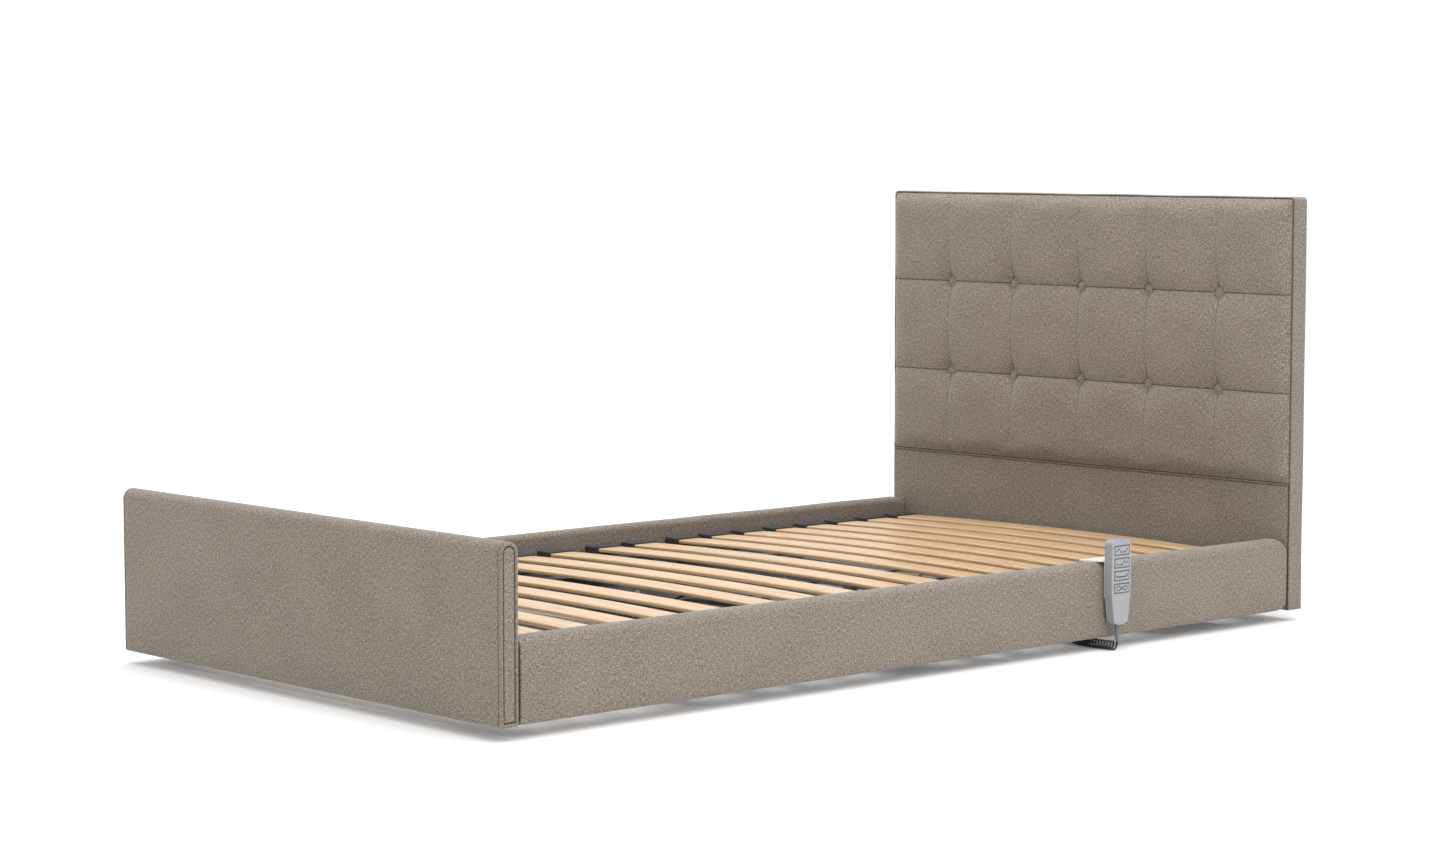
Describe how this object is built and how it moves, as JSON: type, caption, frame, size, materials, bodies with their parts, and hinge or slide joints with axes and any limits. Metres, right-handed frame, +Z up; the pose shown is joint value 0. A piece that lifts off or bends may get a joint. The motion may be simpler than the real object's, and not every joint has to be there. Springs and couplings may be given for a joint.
{
  "type": "adjustable bed base",
  "caption": "Electric adjustable bed base: upholstered surround with buttoned headboard, sectioned slatted deck, scissor height lift and corded handset.",
  "frame": {"origin": "on the floor, under the middle of the surround", "axes": "+X to the right side of the bed seen from its foot, where the handset hangs; +Y towards the headboard; +Z up"},
  "size_m": [1.1785, 2.12, 0.878],
  "materials": {
    "taupe_fabric": "woven, heathered taupe",
    "back_cloth": "black lining cloth",
    "plywood": "raw",
    "beech": "clear lacquer, satin",
    "steel_paint": "grey powder coat, fine texture",
    "zinc_steel": "bright zinc",
    "rubber": "matt",
    "grey_rubber": "matt",
    "nylon": "natural nylon, satin",
    "black_plastic": "fine texture",
    "silver_plastic": "satin, painted silver",
    "cream_plastic": "satin",
    "circuit_board": "solder resist",
    "black_cord": "cord jacket, satin",
    "grey_cord": "cord jacket, satin"
  },
  "bodies": {
    "floor_chassis": {"chassis_channels": "steel_paint", "chassis_cross_tubes": "steel_paint", "floor_pads": "rubber"},
    "scissor_outer": {"outer_arms": "steel_paint", "outer_arm_axles": "zinc_steel"},
    "scissor_inner": {"inner_arms": "steel_paint", "inner_arm_axles": "zinc_steel"},
    "upper_rollers": {"upper_rollers": "nylon"},
    "lower_rollers": {"lower_rollers": "nylon"},
    "back_section": {"back_frame": "steel_paint", "back_slats": "beech", "back_slat_holders": "rubber"},
    "thigh_section": {"thigh_frame": "steel_paint", "knee_hinge_pins": "zinc_steel", "thigh_slats": "beech", "thigh_slat_holders": "rubber"},
    "calf_section": {"calf_frame": "steel_paint", "calf_slats": "beech", "calf_slat_holders": "rubber", "mattress_retainer": "zinc_steel"},
    "back_rod": {"back_drive_rod": "zinc_steel"},
    "leg_rod": {"leg_drive_rod": "zinc_steel"},
    "lift_rod": {"lift_drive_rod": "zinc_steel"},
    "handset": {"handset_front_shell": "silver_plastic", "handset_back_shell": "silver_plastic", "handset_circuit_board": "circuit_board", "handset_cord_boot": "grey_rubber", "handset_hook": "cream_plastic"},
    "key_back": {"key_back": "silver_plastic"},
    "key_leg": {"key_leg": "silver_plastic"},
    "key_height": {"key_height": "silver_plastic"},
    "key_contour": {"key_contour": "silver_plastic"},
    "bed_frame": {"frame_side_tubes": "steel_paint", "frame_cross_tubes": "steel_paint", "lift_tracks": "steel_paint", "rest_pads": "rubber", "seat_frame": "steel_paint", "seat_hinge_pins": "zinc_steel", "seat_slats": "beech", "seat_slat_holders": "rubber", "side_rail_boards": "plywood", "right_rail_cover": "taupe_fabric", "left_rail_cover": "taupe_fabric", "headboard_pad": "taupe_fabric", "headboard_board": "plywood", "headboard_buttons": "taupe_fabric", "headboard_border": "taupe_fabric", "headboard_back_cloth": "back_cloth", "footboard_cover": "taupe_fabric", "footboard_board": "plywood", "surround_plates": "steel_paint", "surround_bolts": "zinc_steel", "back_drive": "black_plastic", "leg_drive": "black_plastic", "lift_drive": "black_plastic", "drive_hangers": "steel_paint", "control_box": "black_plastic", "drive_leads": "black_cord", "handset_curl": "black_cord", "handset_lead": "grey_cord"}
  },
  "joints": [
    {"name": "lift", "type": "hinge", "parent": "floor_chassis", "child": "scissor_outer", "pos_m": [0, -0.48, 0.034], "axis": [1, 0, 0], "range_deg": [0, 23.86]},
    {"name": "scissor_cross", "type": "hinge", "parent": "scissor_outer", "child": "scissor_inner", "pos_m": [0, 0.01942, 0.058], "axis": [1, 0, 0], "range_deg": [-47.74, 0]},
    {"name": "bed_level", "type": "hinge", "parent": "scissor_inner", "child": "bed_frame", "pos_m": [0, -0.48, 0.082], "axis": [1, 0, 0], "range_deg": [0, 23.87]},
    {"name": "lift_rod_level", "type": "hinge", "parent": "scissor_outer", "child": "lift_rod", "pos_m": [0, 0.51885, 0.082], "axis": [1, 0, 0], "range_deg": [-23.87, 0]},
    {"name": "upper_roller_spin", "type": "hinge", "parent": "scissor_outer", "child": "upper_rollers", "pos_m": [0, 0.51885, 0.082], "axis": [1, 0, 0], "continuous": true},
    {"name": "lower_roller_spin", "type": "hinge", "parent": "scissor_inner", "child": "lower_rollers", "pos_m": [0, 0.51885, 0.034], "axis": [1, 0, 0], "continuous": true},
    {"name": "back", "type": "hinge", "parent": "bed_frame", "child": "back_section", "pos_m": [0, 0.23, 0.1145], "axis": [1, 0, 0], "range_deg": [0, 70]},
    {"name": "back_rod_slide", "type": "slide", "parent": "bed_frame", "child": "back_rod", "axis": [0, 1, 0], "range_m": [0, 0.0771]},
    {"name": "thigh", "type": "hinge", "parent": "bed_frame", "child": "thigh_section", "pos_m": [0, 0, 0.1145], "axis": [-1, 0, 0], "range_deg": [0, 35]},
    {"name": "knee", "type": "hinge", "parent": "thigh_section", "child": "calf_section", "pos_m": [0, -0.34, 0.1145], "axis": [-1, 0, 0], "range_deg": [-52.3, 0]},
    {"name": "leg_rod_slide", "type": "slide", "parent": "bed_frame", "child": "leg_rod", "axis": [0, -1, 0], "range_m": [0, 0.0348]},
    {"name": "handset_lift_off", "type": "slide", "parent": "bed_frame", "child": "handset", "axis": [0, 0, 1], "range_m": [0, 0.07]},
    {"name": "press_key_back", "type": "hinge", "parent": "handset", "child": "key_back", "pos_m": [0.5983, 0.4627, 0.198], "axis": [0, 0, 1], "range_deg": [-2.5, 2.5], "stiffness_Nm_per_rad": 0.4},
    {"name": "press_key_leg", "type": "hinge", "parent": "handset", "child": "key_leg", "pos_m": [0.5983, 0.4627, 0.1732], "axis": [0, 0, 1], "range_deg": [-2.5, 2.5], "stiffness_Nm_per_rad": 0.4},
    {"name": "press_key_height", "type": "hinge", "parent": "handset", "child": "key_height", "pos_m": [0.5983, 0.4627, 0.1484], "axis": [0, 0, 1], "range_deg": [-2.5, 2.5], "stiffness_Nm_per_rad": 0.4},
    {"name": "press_key_contour", "type": "hinge", "parent": "handset", "child": "key_contour", "pos_m": [0.5983, 0.4627, 0.1236], "axis": [0, 0, 1], "range_deg": [-2.5, 2.5], "stiffness_Nm_per_rad": 0.4}
  ],
  "couplings": [
    {"joint": "scissor_cross", "follows": "lift", "ratio": -2},
    {"joint": "bed_level", "follows": "lift", "ratio": 1},
    {"joint": "lift_rod_level", "follows": "lift", "ratio": -1},
    {"joint": "back_rod_slide", "follows": "back", "m_per_rad": 0.063044},
    {"joint": "knee", "follows": "thigh", "ratio": -1.4919},
    {"joint": "leg_rod_slide", "follows": "thigh", "m_per_rad": 0.056777}
  ]
}
